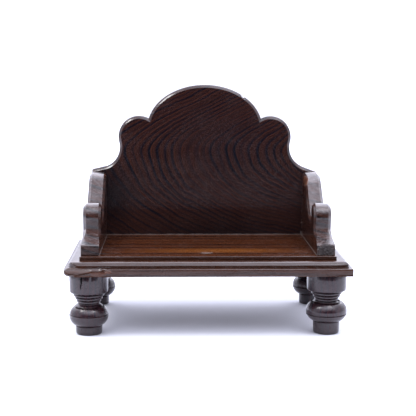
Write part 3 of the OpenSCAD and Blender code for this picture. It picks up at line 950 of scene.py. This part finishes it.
# %% Give each piece its wood
QUARTER = math.radians(90)
seat_wood = rosewood(
    "seat_rosewood", straight_rings((0, 1.0, 0.9), 16.0, 3.0), (0.072, 0.019, 0.0042, 1), (0.010, 0.0034, 0.002, 1),
    ring_width=19.0, fine=0.55, edge_wear=0.25, gloss=0.16,
    coarse=0.3, wax=0.12, below=(83.2, 0.55),
    spots=[((14.0, -44.0, 83.2), (125.0, 20.0, 4.0), (0.15, 0.046, 0.005, 1), 0.75, 0),
           ((-1.0, -58.0, 83.2), (7.0, 4.5, 3.0), PALE_DUST, 0.35, 0.6),
           ((-114.0, -97.0, 67.6), (9.0, 3.0, 2.4), BARE_WOOD, 0.35, 0.1),
           ((-103.5, -97.0, 70.0), (4.0, 3.0, 2.0), BARE_WOOD, 0.5, 0.6)],
)
back_wood = rosewood(
    "back_rosewood", nested_curves, (0.036, 0.0112, 0.0068, 1), (0.0008, 0.0020, 0.0062, 1),
    ring_width=9.0, fine=0.35, crowding=9.0, edge_wear=0.4, gloss=0.12, along_rings=True,
    # spots: a bluish painted sheen high in the middle, painted shade over the lower left beside the arm, and painted
    # shade along the foot above the seat
    spots=[((26.0, 68.0, 188.0), (84.0, 30.0, 62.0), (0.006, 0.0085, 0.0135, 1), 0.25, 0),
           ((-112.0, 68.0, 130.0), (42.0, 30.0, 52.0), (0.0025, 0.002, 0.004, 1), 0.75, 0),
           ((20.0, 68.0, 83.0), (150.0, 30.0, 44.0), (0.003, 0.0010, 0.0016, 1), 0.85, 0)],
)
arm_wood = rosewood(
    "arm_rosewood", straight_rings((0.25, 0.1, 0.96), 12.0, 9.0), (0.036, 0.011, 0.006, 1), (0.006, 0.0032, 0.0034, 1),
    ring_width=8.0, turn=(0, 0, QUARTER), edge_wear=0.4, gloss=0.16, tooling=1.9, tool_scale=0.3, wax=0.5,
    spots=[((116.0, 50.0, 148.0), (3.6, 15.0, 8.0), BARE_WOOD, 0.8, 0.5),
           ((124.0, -75.0, 88.0), (9.5, 9.0, 9.0), (0.012, 0.006, 0.005, 1), 0.95, 1.2),
           ((-116.0, 60.0, 153.0), (3.0, 6.0, 3.0), BARE_WOOD, 0.7, 0.5)],
)
# the legs' two tones carry extra blue for the bluish room the polished legs mirror: partly painted reflection, partly
# the wood's own tone
leg_wood = rosewood(
    "leg_rosewood", round_rings((0.0, -40.0, 0.0)), (0.027, 0.0095, 0.0115, 1), (0.0035, 0.0028, 0.008, 1),
    ring_width=5.0, turn=(0, QUARTER, 0), edge_wear=0.3, gloss=0.16, tooling=0.9, tool_scale=0.12, wax=0.15,
    # a dark line painted down the front left leg's crack: painted shade in the split
    spots=[((-132.0, -91.0, 60.0), (0.9, 5.0, 5.5), PORE_BLACK_AND_PAINTED_SHADE, 0.9, 0.3)],
)
for piece, wood in [(seat, seat_wood), (back, back_wood), (arms[-1], arm_wood), (arms[1], arm_wood)] + [(leg, leg_wood) for leg in legs]:
    piece.data.materials.append(wood)

# %% [markdown]
# ## The hidden dowels and pegs
# The dowels and the pegs keep their exact shapes, because only the pegs' ends ever show, at the back. They
# are plain, paler hardwood with end grain, so a light brown with fine streaks is enough.

# %% Dowel wood
dowel_wood = rosewood(
    "dowel_hardwood", straight_rings((0.7, 0.0, 0.7), 3.0), (0.34, 0.19, 0.09, 1), (0.20, 0.10, 0.045, 1),
    ring_width=1.6, fine=0.3, crowding=3.0, edge_wear=0.2, gloss=0.55,
)
for exact_name in ("left_arm_dowels", "right_arm_dowels", "back_dowels", "left_back_pegs", "right_back_pegs"):
    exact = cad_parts[exact_name]
    exact.data.materials.clear()
    exact.data.materials.append(dowel_wood)

# %% [markdown]
# ## The studio
# The seat stands on white paper in a white room, so there is no horizon. The paper ends a little in front of
# the seat and the room is dim on the viewer's side. Polished wood that faces the viewer mirrors that dim side
# and stays deep, while everything low down mirrors the lit paper and turns pale.

# %% Paper floor
floor_bm = bmesh.new()
bmesh.ops.create_grid(
    floor_bm, x_segments=4, y_segments=4, size=1,
    matrix=Matrix.Translation((0, 1.7, 0)) @ Matrix.Diagonal((3.0, 2.21, 1, 1)),
)
floor_mesh = bpy.data.meshes.new("paper_floor")
floor_bm.to_mesh(floor_mesh)
floor_bm.free()
floor = bpy.data.objects.new("paper_floor", floor_mesh)
bpy.context.scene.collection.objects.link(floor)
paper = bpy.data.materials.new("white_paper")
paper.use_nodes = True
paper_shader = paper.node_tree.nodes["Principled BSDF"]
paper_shader.inputs["Base Color"].default_value = (0.72, 0.735, 0.78, 1)
paper_shader.inputs["Roughness"].default_value = 0.9
paper_shader.inputs["Specular IOR Level"].default_value = 0.1
floor_mesh.materials.append(paper)

# %% [markdown]
# The room's walls and ceiling glow softly. They are brightest high up behind the seat, where a skylight would
# be, and dimmest low down in front. Two soft boxes above the viewer, one strong and one weak, draw the two
# highlights on every turned bulb.

# %% Room and lights
room = bpy.data.worlds.new("pale_room")
bpy.context.scene.world = room
room.use_nodes = True
sky = room.node_tree
facing = node(sky, "ShaderNodeTexCoord").outputs["Generated"]
sides = node(sky, "ShaderNodeSeparateXYZ", {0: facing}).outputs
front_side = ramp(sky, sides["Y"], -0.45, -0.85)
rear_side = ramp(sky, sides["Y"], 0.05, 0.45)
skylight = calc(sky, "MULTIPLY", calc(sky, "MULTIPLY", rear_side, ramp(sky, sides["Z"], 0.1, 0.4)), 2.1)
skylight = calc(sky, "MULTIPLY", skylight, ramp(sky, calc(sky, "ABSOLUTE", sides["X"]), 0.45, 0.75, 1.0, 0.45))
dim_low = calc(sky, "MULTIPLY", calc(sky, "MULTIPLY", front_side, ramp(sky, sides["Z"], 0.62, 0.22)), -1.25)
ceiling = calc(sky, "MULTIPLY", ramp(sky, sides["Z"], 0.6, 0.9), ramp(sky, sides["X"], -0.15, 0.2, 0.4, 1.9))
over_viewer = calc(sky, "MULTIPLY", ramp(sky, sides["Y"], -0.15, -0.6), ramp(sky, sides["Z"], 0.5, 0.8))
high_up = calc(sky, "ADD", ceiling, calc(sky, "MULTIPLY", over_viewer, 2.0))
glow = calc(sky, "ADD", calc(sky, "ADD", calc(sky, "ADD", skylight, dim_low), high_up), 1.3)
sky.links.new(glow, sky.nodes["Background"].inputs["Strength"])
sky.nodes["Background"].inputs["Color"].default_value = (0.93, 0.94, 1.10, 1)


def soft_light(name, azimuth, elevation, size, radiance):
    """A square soft box that points at the seat; azimuth runs from the viewer's side to the right."""
    a, e = math.radians(azimuth), math.radians(elevation)
    place = 1.3 * Vector((math.cos(e) * math.sin(a), -math.cos(e) * math.cos(a), math.sin(e)))
    lamp = bpy.data.lights.new(name, "AREA")
    lamp.shape = "SQUARE"
    lamp.size = size
    lamp.energy = radiance * math.pi * size**2
    holder = bpy.data.objects.new(name, lamp)
    holder.location = place
    holder.rotation_euler = (-place).to_track_quat("-Z", "Y").to_euler()
    bpy.context.scene.collection.objects.link(holder)
    return holder


soft_light("soft_box_left", -67, 56, 0.38, 17.0)
soft_light("soft_box_right", 45, 60, 0.26, 11.0)

# %% Camera
eye = Vector((-0.0357, -1.2113, 0.2838))
yaw, pitch, roll = math.radians(-1.774), math.radians(7.528), math.radians(0.206)
forward = Vector((-math.sin(yaw) * math.cos(pitch), math.cos(yaw) * math.cos(pitch), -math.sin(pitch)))
level = Vector((math.cos(yaw), math.sin(yaw), 0))
upright = level.cross(forward)
right = math.cos(roll) * level + math.sin(roll) * upright
above = math.cos(roll) * upright - math.sin(roll) * level
lens = bpy.data.cameras.new("viewer")
lens.sensor_width = 36.0
lens.lens = 95.2
camera = bpy.data.objects.new("viewer", lens)
camera.matrix_world = Matrix.Translation(eye) @ Matrix((right, above, -forward)).transposed().to_4x4()
bpy.context.scene.collection.objects.link(camera)
bpy.context.scene.camera = camera
bpy.context.scene.view_settings.view_transform = "Standard"
print("camera at", [round(c, 3) for c in camera.location])
